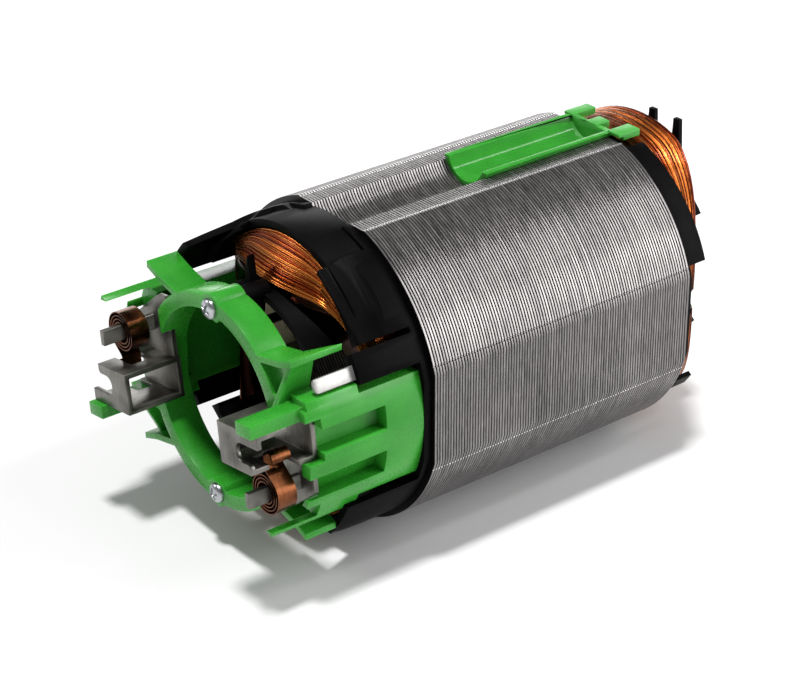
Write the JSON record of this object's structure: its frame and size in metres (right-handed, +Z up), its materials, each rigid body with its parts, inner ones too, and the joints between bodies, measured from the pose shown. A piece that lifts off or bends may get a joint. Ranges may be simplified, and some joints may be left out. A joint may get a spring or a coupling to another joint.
{
  "type": "wound stator",
  "caption": "Wound field assembly of a small universal motor: laminated stack, saddle coils, moulded end insulators and a brush carrier with spring-loaded holders.",
  "frame": {"origin": "centre of the rotor bore, at the middle of the lamination stack", "axes": "+X along the motor axis towards the rear, away from the brushes; +Z up, through the pole that carries the channel liner; +Y to the left, seen from the rear"},
  "size_m": [0.1192, 0.0612, 0.0622],
  "materials": {
    "lamination_steel": "stamped sheet edges, satin",
    "black_moulding": "moulded, slight sheen",
    "slot_paper": "plain insulating paper",
    "coil_wire": "enamelled copper wire, glossy",
    "green_moulding": "moulded, satin gloss",
    "holder_sheet": "folded sheet, satin",
    "spring_strip": "rolled strip, bright edges",
    "tinned_tab": "tin plated",
    "zinc_screw": "zinc plated"
  },
  "bodies": {
    "root": {"lamination_stack": "lamination_steel", "front_insulator": "black_moulding", "rear_insulator": "black_moulding", "slot_liner_upper_right": "slot_paper", "slot_liner_upper_left": "slot_paper", "slot_liner_lower_right": "slot_paper", "slot_liner_lower_left": "slot_paper", "upper_coil": "coil_wire", "lower_coil": "coil_wire", "brush_carrier": "green_moulding", "channel_liner": "green_moulding", "brush_holder_right": "holder_sheet", "brush_holder_left": "holder_sheet", "brush_spring_right": "spring_strip", "brush_spring_left": "spring_strip", "contact_tab_right": "tinned_tab", "contact_tab_left": "tinned_tab", "carrier_screws": "zinc_screw"}
  },
  "joints": []
}
